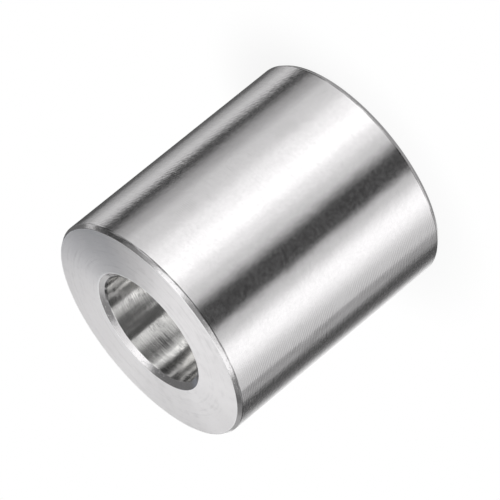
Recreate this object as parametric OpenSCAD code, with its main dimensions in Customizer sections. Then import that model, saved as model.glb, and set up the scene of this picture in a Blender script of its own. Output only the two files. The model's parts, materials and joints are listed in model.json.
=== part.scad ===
/* [Body] */
// Outer diameter of the sleeve
outer_d = 16; // [12:0.5:40]
// Length over both end faces
length = 17.5; // [3:0.5:60]

/* [Bore] */
// Diameter of the bore that runs right through
bore_d = 8; // [3:0.1:9.5]

/* [Outer chamfers] */
// How far each outer chamfer runs along the cylinder
chamfer_length = 0.25; // [0.05:0.05:1]
// How far each outer chamfer cuts into the rim of the end face
chamfer_width = 0.17; // [0.05:0.01:1]

/* [Bore countersinks] */
// How much each countersink adds to the bore's radius at the end face
countersink_width = 0.45; // [0.1:0.05:0.8]
// Angle of the cone that cuts each countersink
countersink_angle = 120; // [60:5:140]

/* [Hidden] */
// Radius of the turned cylinder
outer_r = outer_d / 2;
// Radius of the bore's wall
bore_r = bore_d / 2;
// Where the flat end face meets the outer chamfer
face_r = outer_r - chamfer_width;
// Where the flat end face meets the countersink
mouth_r = bore_r + countersink_width;
// How deep the countersink's cone reaches into the bore
countersink_depth = countersink_width / tan(countersink_angle / 2);

// Half of the wall's section: radius to the right, height above the lower face upwards
module wall_section() {
    polygon([
        [bore_r, countersink_depth],
        [mouth_r, 0],
        [face_r, 0],
        [outer_r, chamfer_length],
        [outer_r, length - chamfer_length],
        [face_r, length],
        [mouth_r, length],
        [bore_r, length - countersink_depth]
    ]);
}

// The whole sleeve, turned in one piece and standing on its lower end face
module sleeve() {
    color("silver")
        rotate_extrude($fn = 180)
            wall_section();
}

sleeve();
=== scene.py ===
"""A turned steel spacer sleeve, standing on its end on a white table.

Bright turned metal shows what stands round it, so the sleeve is lit as such parts are: inside a paper
tent hung with light and dark cards, which only its reflections see.
"""
import json
from math import cos, pi, radians, sin, tan

import bmesh
import bpy
from mathutils import Matrix, Vector


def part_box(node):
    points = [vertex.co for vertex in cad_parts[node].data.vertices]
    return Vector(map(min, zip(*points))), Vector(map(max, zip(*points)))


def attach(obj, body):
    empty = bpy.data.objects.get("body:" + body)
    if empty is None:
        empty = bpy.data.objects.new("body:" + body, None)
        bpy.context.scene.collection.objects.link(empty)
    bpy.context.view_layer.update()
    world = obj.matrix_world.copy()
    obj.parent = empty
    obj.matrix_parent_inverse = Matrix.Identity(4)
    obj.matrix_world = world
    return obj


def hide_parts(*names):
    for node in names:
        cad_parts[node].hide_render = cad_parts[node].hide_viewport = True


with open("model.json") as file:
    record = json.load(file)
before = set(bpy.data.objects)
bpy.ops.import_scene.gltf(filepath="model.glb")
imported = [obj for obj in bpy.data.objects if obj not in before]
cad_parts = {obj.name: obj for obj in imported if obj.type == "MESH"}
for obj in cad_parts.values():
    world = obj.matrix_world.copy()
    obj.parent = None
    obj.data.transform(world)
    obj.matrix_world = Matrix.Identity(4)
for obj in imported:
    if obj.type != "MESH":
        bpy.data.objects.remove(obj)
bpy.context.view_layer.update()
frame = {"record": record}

MM = 0.001

# The sleeve's own sizes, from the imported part
low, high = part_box("sleeve")
mounts = {mount["name"]: mount for mount in frame["record"]["mounts"]}
LENGTH = high.z - low.z
OUTER_R = high.x
BORE_R = mounts["bore"]["dims"]["r_mm"] * MM
MIDDLE_R = (OUTER_R + BORE_R) / 2
COUNTERSINK_DEPTH = (LENGTH - mounts["bore"]["dims"]["length_mm"] * MM) / 2
COUNTERSINK_WIDTH = 0.45 * MM
CHAMFER_LENGTH = 0.25 * MM
CHAMFER_WIDTH = 0.17 * MM

# How finely the sleeve is turned
SEGMENTS = 256
CORNER = radians(10)     # sides that meet at more than this make a corner
ARRIS = 0.025 * MM       # how far the corners of the rims are broken
BORE_ARRIS = 0.01 * MM   # and those at the bore's mouths
ARRIS_STEPS = 3
SUPPORT = 0.04 * MM      # where a ring of edges keeps each side straight next to its corners

# The sleeve's finishes, in the order of its materials
TURNED_WALL, FACED_END, BORED_WALL, CHAMFER_CUT = range(4)
FLAT = 0.97              # a face that looks along the axis by more than this share is an end face
SLOPED = 0.1             # and one that does by more than this is a chamfer or a countersink

# The camera, as the photograph was taken
FRAME_PX = 500
FOCAL_PX = 4902
SENSOR = 36
NEAREST = 10 * MM                     # the camera shows nothing that is closer than this
CAMERA_DISTANCE = 301.4 * MM          # to the upper end face, along the line of sight
FACE_CENTRE_PX = (148.3, 332.1)       # where the upper end face's centre lies in the picture
AXIS_TURN = radians(219.24)           # direction of the sleeve's +Z in the picture, from its right side
AXIS_TILT = radians(22.86)            # how far +Z leans towards the camera


class Value:
    """A node socket that takes part in Python expressions."""

    def __init__(self, shader, socket):
        self.shader = shader
        self.socket = socket

    def math(self, operation, *others, clamp=False):
        return self.shader.node("ShaderNodeMath", {"operation": operation, "use_clamp": clamp},
                                dict(enumerate((self, *others))))

    def __add__(self, other):
        return self.math("ADD", other)

    __radd__ = __add__

    def __mul__(self, other):
        return self.math("MULTIPLY", other)

    __rmul__ = __mul__

    def __sub__(self, other):
        return self.math("SUBTRACT", other)

    def __rsub__(self, other):
        return (self * -1) + other

    def __truediv__(self, other):
        return self.math("DIVIDE", other)

    def fraction(self):
        return self.math("FRACT")

    def clamped(self):
        return self.math("ADD", 0, clamp=True)

    def between(self, start, end):
        """0 below start, 1 above end, and a smooth rise between them."""
        return self.shader.node("ShaderNodeMapRange", {"interpolation_type": "SMOOTHSTEP"},
                                {"Value": self, "From Min": start, "From Max": end})

    def near(self, middle, full, none):
        """1 up to full away from middle, 0 from none away on, and a smooth fall between them."""
        return 1 - (self - middle).math("ABSOLUTE").between(full, none)

    def sibling(self, name):
        """Another output of the same node."""
        return Value(self.shader, self.socket.node.outputs[name])


# The mix node's sockets for colours, by number, because sockets of other kinds share their names
MIX_FACTOR = 0
MIX_FIRST = 6
MIX_SECOND = 7
MIX_RESULT = 2


class Shader:
    """The nodes of one material or world."""

    def __init__(self, owner):
        owner.use_nodes = True
        self.tree = owner.node_tree
        self.tree.nodes.clear()

    def node(self, kind, settings=None, inputs=None, output=0):
        """A new node with these settings, fed through these inputs. Gives one output, if it has any."""
        made = self.tree.nodes.new(kind)
        for name, setting in (settings or {}).items():
            if name == "stops":
                place_stops(made.color_ramp, setting)
            else:
                setattr(made, name, setting)
        for name, value in (inputs or {}).items():
            if isinstance(value, Value):
                self.tree.links.new(value.socket, made.inputs[name])
            else:
                made.inputs[name].default_value = value
        return Value(self, made.outputs[output]) if made.outputs else None

    def place(self):
        """Object coordinates as three values."""
        whole = self.node("ShaderNodeTexCoord", output="Object")
        split = self.node("ShaderNodeSeparateXYZ", inputs={"Vector": whole})
        return [split.sibling(axis) for axis in "XYZ"]

    def noise(self, x, y, z, detail=2.0):
        """Soft noise about 0, whose grains are about 1 across."""
        place = self.node("ShaderNodeCombineXYZ", inputs={"X": x, "Y": y, "Z": z})
        grains = {"Vector": place, "Scale": 1.0, "Detail": detail, "Roughness": 0.5}
        return self.node("ShaderNodeTexNoise", {"noise_dimensions": "3D"}, grains) - 0.5

    def grain(self, size, detail=2.0):
        """Noise with grains of one size in every direction."""
        x, y, z = self.place()
        return self.noise(x / size, y / size, z / size, detail)

    def mix(self, factor, first, second):
        """A colour between two colours."""
        return self.node("ShaderNodeMix", {"data_type": "RGBA"},
                         {MIX_FACTOR: factor, MIX_FIRST: first, MIX_SECOND: second}, MIX_RESULT)

    def ramp(self, factor, stops):
        return self.node("ShaderNodeValToRGB", {"stops": stops}, {"Fac": factor})

    def seen_directly(self):
        """1 for camera, glossy and transmission rays, and 0 for the light that falls on things."""
        ray = self.node("ShaderNodeLightPath", output="Is Camera Ray")
        return (ray + ray.sibling("Is Glossy Ray") + ray.sibling("Is Transmission Ray")).clamped()

    def end_in(self, surface, kind="ShaderNodeOutputMaterial"):
        """Joins the finished surface to the output of a material, or of the world."""
        self.node(kind, inputs={"Surface": surface})


def place_stops(color_ramp, stops):
    """Puts stops on a ramp, each a position and a colour, with a smooth change from one to the next."""
    color_ramp.interpolation = "EASE"
    while len(color_ramp.elements) > 1:
        color_ramp.elements.remove(color_ramp.elements[0])
    color_ramp.elements[0].position = stops[0][0]
    color_ramp.elements[0].color = stops[0][1]
    for position, colour in stops[1:]:
        color_ramp.elements.new(position).color = colour


def into_scene(name, data):
    """A new object in the scene."""
    made = bpy.data.objects.new(name, data)
    bpy.context.scene.collection.objects.link(made)
    return made


def mesh_object(name, bm, materials):
    """A new object in the scene, with the bmesh's shape and these materials."""
    mesh = bpy.data.meshes.new(name)
    bm.to_mesh(mesh)
    bm.free()
    for material in materials:
        mesh.materials.append(material)
    return into_scene(name, mesh)


def place_camera():
    """The photograph's view: a long lens, with the standing sleeve's +Z turned to the lower left."""
    level = cos(AXIS_TILT)
    axis = Vector((cos(AXIS_TURN) * level, sin(AXIS_TURN) * level, sin(AXIS_TILT)))
    across = (FACE_CENTRE_PX[0] - FRAME_PX / 2) / FOCAL_PX
    down = (FACE_CENTRE_PX[1] - FRAME_PX / 2) / FOCAL_PX
    face_centre = Vector((across, -down, -1)) * CAMERA_DISTANCE
    towards = -face_centre
    front = (towards - axis * towards.dot(axis)).normalized()
    right = (-front).cross(axis)
    turn = Matrix((right, -front, axis)).to_4x4()
    lens = bpy.data.cameras.new("camera")
    lens.sensor_width = SENSOR
    lens.lens = FOCAL_PX / FRAME_PX * SENSOR
    lens.clip_start = NEAREST
    camera = into_scene("camera", lens)
    camera.matrix_world = Matrix.Translation((0, 0, LENGTH)) @ turn @ Matrix.Translation(-face_centre)
    bpy.context.scene.camera = camera


def wall_section():
    """Corners of the wall's half section, from the bore's lower end outwards and up."""
    lower = [
        (BORE_R, COUNTERSINK_DEPTH),
        (BORE_R + COUNTERSINK_WIDTH, 0),
        (OUTER_R - CHAMFER_WIDTH, 0),
        (OUTER_R, CHAMFER_LENGTH),
    ]
    upper = [(radius, LENGTH - height) for radius, height in reversed(lower)]
    return [Vector((radius, 0, height)) for radius, height in lower + upper]


def with_supports(corners):
    """The same outline with a point on each side close to both its ends."""
    outline = []
    for start, end in zip(corners, corners[1:] + corners[:1]):
        along = (end - start).normalized() * (ARRIS + SUPPORT)
        outline += [start, start + along, end - along]
    return outline


def finish_of(face):
    """Which finish a face of the sleeve has, by where it looks and where it lies."""
    along_axis = abs(face.normal.z)
    if along_axis > FLAT:
        return FACED_END
    if along_axis > SLOPED:
        return CHAMFER_CUT
    return TURNED_WALL if face.calc_center_median().xy.length > MIDDLE_R else BORED_WALL


def turned_sleeve(materials):
    """The sleeve: its half section spun round the bore's axis, with every corner slightly broken."""
    bm = bmesh.new()
    points = [bm.verts.new(point) for point in with_supports(wall_section())]
    edges = [bm.edges.new(pair) for pair in zip(points, points[1:] + points[:1])]
    bmesh.ops.spin(bm, geom=points + edges, cent=(0, 0, 0), axis=(0, 0, 1), angle=2 * pi,
                   steps=SEGMENTS, use_merge=True)
    bmesh.ops.recalc_face_normals(bm, faces=bm.faces)
    corners = [edge for edge in bm.edges if edge.calc_face_angle() > CORNER]
    rims = [edge for edge in corners if edge.verts[0].co.xy.length > MIDDLE_R]
    mouths = [edge for edge in corners if edge not in rims]
    for rings, offset in ((rims, ARRIS), (mouths, BORE_ARRIS)):
        bmesh.ops.bevel(bm, geom=rings, offset=offset, offset_type="OFFSET", affect="EDGES",
                        segments=ARRIS_STEPS, profile=0.5, material=-1)
    for face in bm.faces:
        face.smooth = True
        face.material_index = finish_of(face)
    return mesh_object("turned_sleeve", bm, materials)


# The steel as cut, and as dull marks, brightened corners (part handling wear, part painted highlight) and
# painted near-black lines past the corners change it
STEEL = (0.814, 0.800, 0.807, 1)
BORED_STEEL = (0.80, 0.792, 0.778, 1)
# painted highlight along the corners, part handling wear
WORN_HIGHLIGHT_STEEL = (0.97, 0.97, 0.97, 1)
DULL_STEEL = (0.30, 0.298, 0.297, 1)
# a near-black line painted past the corners
DARK_LINE_STEEL = (0.06, 0.06, 0.06, 1)
GLOSS_TURN = 0.25                 # a quarter turn, so that gloss spreads across the tool's marks

# The marks' sizes and places. East is how far round towards +X a place is, from -1 to 1, west how far
# towards -X, and sides is east squared. A pair says where something starts to change, and where it has
# changed in full.

# Along the corners
DARK_LINE = 0.05 * MM                  # how far the dark line past a corner reaches
WEAR_HIGHLIGHT = 0.08 * MM                  # how far from a corner the painted highlight, part handling wear, reaches
CORNER_BREAKS = 2 * MM            # how far along the axis the breaks in both lines stay alike
UNBROKEN = 1.1                    # the share of a dark line that leaves nearly no breaks in it
BORE_DARK_LINE_EAST = (0.75, 0.90)     # where the bore's mouths have the painted near-black line
MOUTH_HIGHLIGHT_EAST = (-0.6, -0.2)    # and where they have the painted highlight, part wear

# On the turned wall
WALL_FEED = 0.135 * MM
WALL_WANDER = 0.15 * MM           # how far the feed marks wander
WALL_WAVE = 2 * MM                # how wide the wall's faint waves are
WALL_WAVE_DEPTH = 0.018 * MM
WALL_MOTTLE = 0.22 * MM           # how wide the flecks in its gloss are
WALL_UNEVEN = 0.003 * MM          # how much the feed marks vary in depth
WALL_ROUGH = 0.007 * MM           # and how much more they do on the two rough sides
WALL_CHATTER = 0.002 * MM         # how deep the chatter on the rough sides is
WALL_CREST_CHATTER = 0.020 * MM   # and how much deeper it is on the feed marks' crests
WALL_ROUGHNESS = 0.20
WALL_BLOOM = 0.025
ROUGH_SIDES = (0.45, 0.75)        # where the wall is rougher
CLEAR_WEST = (0.60, 0.80)         # where the feed marks are clear on the -X side
PATCHES_EAST = 0.52               # where patches of clear marks are,
PATCHES_REACH = (0.03, 0.10)      # and how far they spread from there
STRIP_EAST = 0.845                # where a strip of clear marks is,
STRIP_REACH = (0.01, 0.06)        # and how far it spreads from there
PAINTED_SHADE_SIDES = (0.90, 0.98)      # where shade is painted on the wall's sides, round the wall
PAINTED_SHADE_HEIGHT = (LENGTH * 0.65, LENGTH)  # and up it
DENT_TURN = radians(-56.3)        # where a drag mark runs up the wall, from the camera's side towards +X
DENT_DEPTH = 0.014 * MM
DENT_REACH = (0, 0.6 * MM)        # how far the drag mark spreads to either side
DENT_SIDE = (0.2, 0.6)            # keeps it off the wall's other side
DENT_GAP = 11.5 * MM              # the height at which it is broken
DENT_GAP_REACH = (0.2 * MM, 1.0 * MM)  # and how far the gap spreads from there
DENT_RISE = (0, LENGTH * 0.6)     # the heights between which it deepens

# On the end faces
FACE_FEED = 0.12 * MM
FACE_RING_DEPTH = 0.0012 * MM
FACE_UNEVEN = 0.006 * MM          # how much the rings vary in depth
FACE_WAVE = 0.6 * MM              # how wide the face's faint waves are
FACE_WAVE_DEPTH = 0.006 * MM
FACE_ROUGHNESS = 0.31
FACE_BLOOM = 0.025
INNER_LEAN = tan(radians(7.5))    # how far the rings' flanks lean outwards next to the bore
OUTER_LEAN = tan(radians(12.5))   # and at the rim

# In the bore
BORE_FEED = 0.16 * MM
BORE_RING_DEPTH = 0.0006 * MM
STAINED_RING_DEPTH = 0.0010 * MM  # how much deeper the boring marks are where the bore is stained
SCORE_WIDTH = BORE_FEED * 0.8
SCORE_DEPTH = 0.010 * MM
SCUFF_WIDTH = 0.7 * MM
SCUFF_DEPTH = 0.010 * MM
STAIN = 0.9 * MM                  # how wide the stains are
BORE_ROUGHNESS = 0.15
BORE_BLOOM = 0.01
DULL_SIDES = (0.62, 0.74)         # where the bore is duller
DULL_WEST = (0.76, 0.84)          # and where it is still duller, on the -X side,
DULL_WEST_END = (1 * MM, 2.5 * MM)  # up to this far from the face
MOUTH_LEAN = tan(radians(20))     # how far the boring marks lean towards their mouth, at the face
DEEP_LEAN = tan(radians(27))      # and from LEAN_DEPTH on
LEAN_DEPTH = 4 * MM
SCOUR_EAST = -0.28                # where one spot is scoured, round the bore,
SCOUR_EAST_REACH = (0.05, 0.15)   # how far it spreads from there
SCOUR_FROM_END = 1.95 * MM        # and how far from the face it is
SCOUR_REACH = (0.25 * MM, 0.5 * MM)  # and spreads along the bore
SCOUR_NORTH = (0, 0.1)            # keeps it off the bore's other side

# On the chamfers and countersinks
CUT_RING = 0.05 * MM              # how wide the rings in the cut are
CUT_RING_DEPTH = 0.0008 * MM
NICK = 0.15 * MM                  # how wide the nicks are
NICK_DEPTH = 0.005 * MM
PIT_DEPTH = 0.0035 * MM
CUT_ROUGHNESS = 0.15
CUT_BLOOM = 0.02


class Lathe:
    """Where a point is on the turned sleeve, for the patterns that the tools leave.

    Its direction from the axis is given by east, which is 1 towards +X, and north, which is 1 towards +Y.
    """

    def __init__(self, shader):
        self.shader = shader
        x, y, self.height = shader.place()
        self.radius = (x * x + y * y).math("SQRT")
        self.turn = y.math("ARCTAN2", x) / (2 * pi)
        self.east = x / self.radius
        self.west = self.east * -1
        self.north = y / self.radius
        self.from_end = LENGTH / 2 - (self.height - LENGTH / 2).math("ABSOLUTE")

    def sideways(self, start, end):
        """1 on both sides, towards +X and -X, and 0 in front and behind."""
        return (self.east * self.east).between(start, end)

    def streaks(self, along, width, per_turn, detail=2.0):
        """Noise drawn out round the sleeve, width across: about six times per_turn streaks in a turn."""
        return self.shader.noise(self.east * per_turn, self.north * per_turn, along / width, detail)

    def groove(self, along, feed):
        """One round-bottomed groove after another: 0 at the bottom of each and 1 at its crests."""
        across = (along / feed - self.turn).fraction() - 0.5
        return across * across * 4

    def dark_line(self, past_corner, share=0.75):
        """A near-black line painted on the far side of a corner, broken in places."""
        line = past_corner.between(-DARK_LINE * 0.2, DARK_LINE * 0.2) * (1 - past_corner.between(DARK_LINE, DARK_LINE * 1.6))
        return line * (self.streaks(self.height, CORNER_BREAKS, per_turn=9) * 3 + share).clamped()

    def bore_dark_line(self, past_corner):
        """The near-black line painted at the mouths, on the +X side."""
        return self.dark_line(past_corner, UNBROKEN) * self.east.between(*BORE_DARK_LINE_EAST)

    def wear_highlight(self, from_corner):
        """A painted highlight along a corner, part handling wear, stronger in some places than in others.
        """
        line = 1 - from_corner.between(WEAR_HIGHLIGHT * 0.5, WEAR_HIGHLIGHT * 1.3)
        return line * (self.streaks(self.height, CORNER_BREAKS, per_turn=7) * 1.5 + 0.7).clamped()

    def drag_mark(self):
        """1 in the middle of the drag mark: it is broken at DENT_GAP and fades towards the lower end."""
        across = (self.east * cos(DENT_TURN) + self.north * sin(DENT_TURN)) * OUTER_R
        this_side = (self.east * sin(DENT_TURN) - self.north * cos(DENT_TURN)).between(*DENT_SIDE)
        unbroken = 1 - self.height.near(DENT_GAP, *DENT_GAP_REACH)
        fading = self.height.between(*DENT_RISE) * 0.85 + 0.15
        return across.near(0, *DENT_REACH) * this_side * unbroken * fading

    def scour(self):
        """1 in the middle of the scoured spot, on the far side of the bore."""
        across = self.east.near(SCOUR_EAST, *SCOUR_EAST_REACH)
        along = self.from_end.near(SCOUR_FROM_END, *SCOUR_REACH)
        return across * along * self.north.between(*SCOUR_NORTH)


def leaning(along, reach, start_slope, end_slope):
    """A height whose slope grows from start_slope to end_slope at reach, and stays so beyond it."""
    within_reach = along.math("MINIMUM", reach)
    beyond_reach = along - within_reach
    steepening = (end_slope - start_slope) / reach / 2
    return within_reach * within_reach * steepening + within_reach * start_slope + beyond_reach * end_slope


def steel(name, finish, stretch, colour=STEEL):
    """Bright cut steel: finish gives what varies over it, and stretch how far its gloss spreads."""
    material = bpy.data.materials.new(name)
    shader = Shader(material)
    cut = finish(Lathe(shader))
    colour = shader.mix(cut["dullness"].clamped(), colour, DULL_STEEL)
    # painted highlight along the corners, part handling wear
    if "wear_highlight" in cut:
        colour = shader.mix(cut["wear_highlight"], colour, WORN_HIGHLIGHT_STEEL)
    # a near-black line painted past the corners
    if "dark_line" in cut:
        colour = shader.mix(cut["dark_line"], colour, DARK_LINE_STEEL)
    shader.end_in(shader.node("ShaderNodeBsdfPrincipled", inputs={
        "Base Color": colour,
        "Metallic": 1 - cut["bloom"].clamped(),
        "Roughness": cut["roughness"],
        "Anisotropic": stretch,
        "Anisotropic Rotation": GLOSS_TURN,
        "Normal": shader.node("ShaderNodeBump", inputs={
            "Height": cut["height"],
            "Distance": 1.0,
            "Strength": 1.0,
        }),
    }))
    return material


def turned_wall(lathe):
    """Feed marks in one helix, clearer and rougher on two sides, a drag mark, painted shade on both sides
    towards the upper end, and a painted near-black line at both rims.
    """
    waves = lathe.shader.grain(WALL_WAVE, detail=3)
    mottle = lathe.shader.grain(WALL_MOTTLE, detail=3)
    groove = lathe.groove(lathe.height + waves * WALL_WANDER, WALL_FEED)
    uneven = lathe.streaks(lathe.height, WALL_FEED, per_turn=8)
    chatter = lathe.streaks(lathe.height, WALL_FEED, per_turn=30)
    rough = lathe.sideways(*ROUGH_SIDES)
    clear_west = lathe.west.between(*CLEAR_WEST) * (waves * 6 + 0.8).clamped()
    patches = lathe.east.near(PATCHES_EAST, *PATCHES_REACH) * waves.between(0.01, 0.06)
    strip = lathe.east.near(STRIP_EAST, *STRIP_REACH) * (waves * 3 + 0.8).clamped()
    clear = clear_west * 1.1 + patches * 1.4 + strip * 1.6
    # painted shade: the wall's two sides darker towards its upper end
    painted_shade = lathe.sideways(*PAINTED_SHADE_SIDES) * lathe.height.between(*PAINTED_SHADE_HEIGHT)
    return {
        "height": (uneven * (rough * WALL_ROUGH + WALL_UNEVEN)
                   + chatter * rough * (groove * WALL_CREST_CHATTER + WALL_CHATTER)
                   + waves * WALL_WAVE_DEPTH - lathe.drag_mark() * DENT_DEPTH),
        "dullness": ((1 - groove) * (clear * 0.40 + 0.02) + clear * -0.23 + 0.12
                     + uneven * (rough * 0.08 + 0.03) + waves * 0.06 + painted_shade * 0.45),
        "roughness": uneven * 0.04 + mottle * 0.06 + WALL_ROUGHNESS,
        "bloom": mottle * 0.15 + waves * 0.04 + WALL_BLOOM,
        # a near-black line painted past both rims
        "dark_line": lathe.dark_line(lathe.from_end - CHAMFER_LENGTH),
    }


def faced_end(lathe):
    """Facing rings of uneven depth, a faint bloom, and a painted highlight along both corners, part
    handling wear.
    """
    groove = lathe.groove(lathe.radius, FACE_FEED)
    uneven = lathe.streaks(lathe.radius, FACE_FEED * 1.5, per_turn=1.5)
    waves = lathe.shader.grain(FACE_WAVE, detail=3)
    lean = leaning(lathe.radius - BORE_R, OUTER_R - BORE_R, INNER_LEAN, OUTER_LEAN) * -1
    # painted highlight along the rim and the mouth, part handling wear
    rim_highlight = lathe.wear_highlight(OUTER_R - CHAMFER_WIDTH - lathe.radius)
    from_mouth = lathe.radius - BORE_R - COUNTERSINK_WIDTH
    mouth_highlight = lathe.wear_highlight(from_mouth) * lathe.east.between(*MOUTH_HIGHLIGHT_EAST)
    return {
        "height": lean + groove * FACE_RING_DEPTH + uneven * FACE_UNEVEN + waves * FACE_WAVE_DEPTH,
        "dullness": uneven * 0.55 + waves * 0.4,
        "roughness": waves * 0.1 + FACE_ROUGHNESS,
        "bloom": waves * 0.18 + FACE_BLOOM,
        "wear_highlight": rim_highlight + mouth_highlight,
    }


def bored_wall(lathe):
    """Boring marks that lean towards the nearer mouth, stains, and scuffs drawn out round the bore."""
    groove = lathe.groove(lathe.height, BORE_FEED)
    fine = lathe.streaks(lathe.height, SCORE_WIDTH, per_turn=3)
    scuffs = lathe.streaks(lathe.height, SCUFF_WIDTH, per_turn=3, detail=3)
    lean = leaning(lathe.from_end, LEAN_DEPTH, MOUTH_LEAN, DEEP_LEAN)
    sides = lathe.sideways(*DULL_SIDES)
    stains = lathe.shader.grain(STAIN, detail=3).between(0.02, 0.2)
    scored = fine * (stains * 2.2 + 0.35)
    scoured = lathe.scour() * (fine * 4 + 0.6).clamped()
    west = lathe.west.between(*DULL_WEST) * (1 - lathe.from_end.between(*DULL_WEST_END))
    return {
        "height": (lean + groove * (stains * STAINED_RING_DEPTH + BORE_RING_DEPTH)
                   + scored * SCORE_DEPTH + scuffs * SCUFF_DEPTH),
        "dullness": scored + scuffs + stains * 0.25 + sides * 0.3 + west * 0.3 + scoured * 0.9 + 0.06,
        "roughness": scuffs * 0.08 + BORE_ROUGHNESS,
        "bloom": scuffs * 0.06 + BORE_BLOOM,
        # a near-black line painted at the bore's mouths
        "dark_line": lathe.bore_dark_line(lathe.from_end - COUNTERSINK_DEPTH),
    }


def chamfer_cut(lathe):
    """A clean cut with a few fine rings, nicks and pits, and the bore's painted near-black line along the
    countersinks.
    """
    rings = lathe.streaks(lathe.height + lathe.radius, CUT_RING, per_turn=2)
    nicks = lathe.shader.grain(NICK, detail=3)
    pits = nicks.between(0.11, 0.18)
    in_countersink = lathe.radius.math("LESS_THAN", BORE_R + COUNTERSINK_WIDTH)
    return {
        "height": rings * CUT_RING_DEPTH + nicks * NICK_DEPTH - pits * PIT_DEPTH,
        "dullness": rings * 0.3 + nicks * 0.3,
        "roughness": rings * 0.1 + CUT_ROUGHNESS,
        "bloom": rings * 0.05 + CUT_BLOOM,
        # a near-black line painted at the bore's mouths
        "dark_line": lathe.bore_dark_line(COUNTERSINK_DEPTH - lathe.from_end) * in_countersink,
    }


def stage_material(name, surface):
    """A material of the tent or the floor."""
    material = bpy.data.materials.new(name)
    shader = Shader(material)
    shader.end_in(surface(shader))
    return material


# The cards that hang in the tent, in rows from the floor up. Each row starts with the angles above the
# horizon between which it takes over from the row below, and its comment says where the sleeve shows it.
# Its cards are in degrees round the tent, from the camera's side towards +X: from, to and brightness.
# Between two cards the paper fades from one to the other.
COOL = (0.20, 0.215, 0.24)
FLOOR_PAPER = 0.35
CARD_ROWS = (
    ((-60, -42), (  # in the turned wall
        (-180, -171, 1.17), (-140, -136, 0.10), (-129, -126, 0.075), (-119, -116, 0.38), (-111, -109, 0.44),
        (-104, -96, 0.77), (-67, -62, 1.45), (-42, -41, 0.74), (-31, -17, 0.05), (0, 1, 0.85),
        (12, 12, 1.17), (24, 31, 1.58), (48, 48, 1.28), (64, 64, 0.89), (72, 74, 0.84), (89, 89, 0.49),
        (106, 110, 0.03), (119, 126, 0.75), (140, 145, 0.43), (151, 162, 0.11), (172, 176, 0.12),
        (180, 180, 0.14),
    )),
    ((-9, -5), (  # in the sides of the chamfer and countersink
        (-180, -175, 1.03), (-171, -166, 0.14), (-162, -156, 0.36), (-147, -136, 0.40), (-124, -112, 0.16),
        (112, 115, 0.11), (122, 125, 0.60), (134, 154, 0.14), (158, 162, 0.18), (165, 168, COOL),
        (176, 180, 0.86),
    )),
    ((6, 9), (  # in the bore, by its mouth
        (-180, -170, 1.0), (-165, -156, 0.57), (-138, -134, 0.37), (-128, -122, 0.22), (-114, -111, 0.14),
        (-102, -101, 0.27), (-93, -86, 0.03), (-81, -81, 0.10), (-75, -69, 0.50), (-64, -62, 0.52),
        (-57, -57, 0.36), (-50, -28, 0.10), (-23, -22, 0.17), (-17, -9, 0.08), (-6, 4, 0.58),
        (9, 9, 0.50), (17, 17, 0.24), (24, 34, 0.15), (43, 43, 0.25), (50, 50, 0.52), (55, 56, 0.68),
        (61, 61, 0.43), (67, 67, 0.19), (72, 78, 0.05), (84, 84, 0.15), (92, 94, 0.56), (97, 105, 0.05),
        (112, 117, 0.11), (123, 126, 0.60), (134, 160, 0.15), (165, 168, COOL), (175, 180, 0.84),
    )),
    ((22, 27), (  # deeper in the bore, and in the end face
        (-180, -163, 1.0), (-155, -148, 0.52), (-125, -108, 0.14), (-100, -92, 0.26), (-85, -85, 0.55),
        (-78, -69, 1.22), (-64, -64, 0.90), (-58, -58, 0.70), (-50, -50, 0.44), (-41, -38, 0.05),
        (-34, -33, 0.20), (-29, -9, 0.06), (-6, 3, 1.0), (8, 8, 0.84), (15, 28, 0.60), (38, 38, 0.50),
        (45, 45, 0.60), (50, 50, 0.80), (55, 63, 1.15), (68, 68, 0.45), (73, 80, 0.07), (90, 108, 0.03),
        (110, 110, 0.02), (120, 124, 0.25), (134, 158, 0.16), (163, 169, COOL), (176, 180, 0.85),
    )),
    ((30, 34), (  # twice, in the bore's sides, and in the chamfer
        (-180, -176, 1.0), (-171, -160, 1.18), (-147, -143, 0.45), (-138, -128, 0.18), (-100, -97, 0.28),
        (-86, -66, 1.17), (-58, -56, 0.75), (-51, -49, 0.32), (-42, -33, 1.5), (-28, -14, 0.14),
        (0, 0, 0.45), (11, 11, 0.60), (20, 24, 1.15), (30, 30, 0.65), (35, 40, 0.03), (46, 46, 0.24),
        (53, 57, 0.50), (63, 63, 0.28), (70, 85, 0.23), (94, 110, 0.03), (130, 150, 0.15),
        (156, 167, COOL), (175, 180, 0.88),
    )),
    ((38, 41), (  # in the chamfer's near side
        (-180, -178, 0.98), (-173, -155, 1.06), (-144, -141, 0.28), (-136, -130, 0.18), (-100, -60, 1.25),
        (-55, -55, 1.12), (-46, -44, 0.74), (-37, -37, 0.40), (-28, -8, 0.30), (0, 0, 0.53),
        (12, 40, 1.25), (54, 58, 0.36), (70, 120, 0.20), (134, 152, 0.15), (172, 180, 0.92),
    )),
    ((61, 73), (  # in the countersink
        (-180, -176, 1.05), (-150, -120, 0.85), (-60, 60, 1.20), (130, 155, 1.25), (176, 180, 1.05),
    )),
)
# Loose cards over the rows, which the bore shows deep inside. Each is in degrees round the tent and
# degrees above the horizon: from and to, from and to, and brightness.
LOOSE_CARDS = (
    (-79, -67, 18.5, 21.5, 1.5),
    (18, 38, 24, 27, 0.0),
    (53, 66, 20.5, 23.5, 1.7),
)
LOOSE_CARD_EDGE = 1.5      # how far a loose card's edge fades, to either side
TENT_R = 400 * MM
TENT_PANELS = 64           # round the tent
TENT_HOOPS = 32            # from its foot to its top


def grey(brightness):
    """A colour without a hue."""
    return (brightness,) * 3 + (1,)


def ramp_position(degrees_round):
    """Where on a colour ramp a direction round the tent lies."""
    return degrees_round / 360 + 0.5


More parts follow.
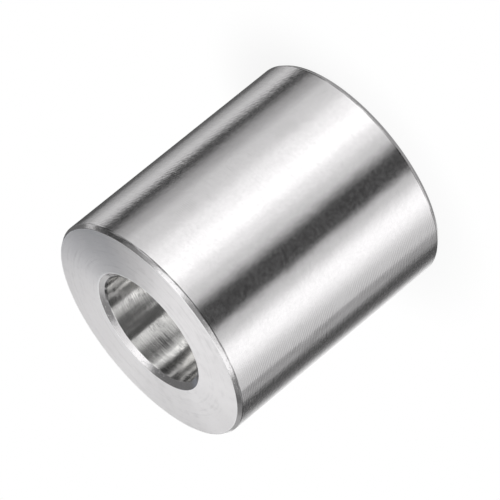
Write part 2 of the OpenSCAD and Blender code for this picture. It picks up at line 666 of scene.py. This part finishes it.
def card_row(shader, round_to, cards):
    """One row of cards, as a colour for each way round the tent, in two ramps as one holds 32 stops."""
    middle = len(cards) // 2
    ramps = []
    for half in (cards[:middle + 1], cards[middle:]):
        stops = []
        for start, end, brightness in half:
            colour = brightness + (1,) if isinstance(brightness, tuple) else grey(brightness)
            stops += [(ramp_position(degrees_round), colour) for degrees_round in sorted({start, end})]
        ramps.append(shader.ramp(round_to, stops))
    seam = ramp_position(cards[middle][0])
    return shader.mix(round_to.math("GREATER_THAN", seam), *ramps)


def within(value, start, end):
    """1 between start and end, fading at both."""
    return (value.between(start - LOOSE_CARD_EDGE, start + LOOSE_CARD_EDGE)
            * (1 - value.between(end - LOOSE_CARD_EDGE, end + LOOSE_CARD_EDGE)))


def tent_paper(shader):
    """The rows of cards, one over the other, and the loose cards over them, as light."""
    x, y, z = shader.place()
    round_to = x.math("ARCTAN2", y * -1) / (2 * pi) + 0.5
    across = (x * x + y * y).math("SQRT")
    rise = (z - LENGTH / 2).math("ARCTAN2", across) * (180 / pi)
    colour = grey(FLOOR_PAPER)
    for (start, end), cards in CARD_ROWS:
        colour = shader.mix(rise.between(start, end), colour, card_row(shader, round_to, cards))
    degrees_round = round_to * 360 - 180
    for left, right, lower, upper, brightness in LOOSE_CARDS:
        cover = within(degrees_round, left, right) * within(rise, lower, upper)
        colour = shader.mix(cover, colour, grey(brightness))
    return shader.node("ShaderNodeEmission", inputs={"Color": colour})


def pitch_tent():
    """A round tent about the sleeve, which only reflections see."""
    bm = bmesh.new()
    bmesh.ops.create_uvsphere(bm, u_segments=TENT_PANELS, v_segments=TENT_HOOPS, radius=TENT_R,
                              matrix=Matrix.Translation((0, 0, LENGTH / 2)))
    tent = mesh_object("tent", bm, [stage_material("tent_paper", tent_paper)])
    tent.visible_camera = False
    tent.visible_diffuse = False
    tent.visible_shadow = False


WHITE = (1, 1, 1, 1)
FLOOR_WHITE = (0.9, 0.9, 0.9, 1)
FLOOR_SIZE = 2.0
SHADOW_REACH = 5 * MM
SHADOW_SHARE = 0.13


def floor_surface(shader):
    """White card that takes the sleeve's shadow, and shows white away from it."""
    x, y, _ = shader.place()
    from_axis = (x * x + y * y).math("SQRT")
    away = from_axis.between(OUTER_R, OUTER_R + SHADOW_REACH)
    card = shader.node("ShaderNodeBsdfDiffuse", inputs={"Color": FLOOR_WHITE})
    white = shader.node("ShaderNodeEmission", inputs={"Color": WHITE})
    white_share = shader.seen_directly() * (away * SHADOW_SHARE + (1 - SHADOW_SHARE))
    return shader.node("ShaderNodeMixShader", inputs={0: white_share, 1: card, 2: white})


def lay_floor():
    """The table, which the sleeve's reflections don't see."""
    bm = bmesh.new()
    bmesh.ops.create_grid(bm, x_segments=1, y_segments=1, size=FLOOR_SIZE / 2)
    floor = mesh_object("floor", bm, [stage_material("floor", floor_surface)])
    floor.visible_glossy = False


ROOM_LIGHT = 0.6                         # how brightly the room lights things, where 1 is how it is seen
LAMP_SIZE = 0.4
LAMP_POWER = 1.2
LAMP_PLACE = Vector((-0.25, -0.2, 0.5))


def light_room():
    """An even white room and one soft lamp over the camera's shoulder."""
    world = bpy.data.worlds.new("room")
    bpy.context.scene.world = world
    shader = Shader(world)
    strength = shader.seen_directly() * (1 - ROOM_LIGHT) + ROOM_LIGHT
    room = shader.node("ShaderNodeBackground", inputs={"Color": WHITE, "Strength": strength})
    shader.end_in(room, "ShaderNodeOutputWorld")
    lamp = bpy.data.lights.new("soft_lamp", "AREA")
    lamp.shape = "DISK"
    lamp.size = LAMP_SIZE
    lamp.energy = LAMP_POWER
    holder = into_scene("soft_lamp", lamp)
    holder.location = LAMP_PLACE
    holder.rotation_euler = (-LAMP_PLACE).to_track_quat("-Z", "Y").to_euler()
    holder.visible_glossy = False


place_camera()
sleeve = turned_sleeve([
    steel("turned_wall", turned_wall, stretch=0.9),
    steel("faced_end", faced_end, stretch=0.85),
    steel("bored_wall", bored_wall, stretch=0.7, colour=BORED_STEEL),
    steel("chamfer_cut", chamfer_cut, stretch=0.5),
])
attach(sleeve, "root")
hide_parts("sleeve")

lay_floor()
light_room()
pitch_tent()

bpy.context.scene.view_settings.view_transform = "Standard"
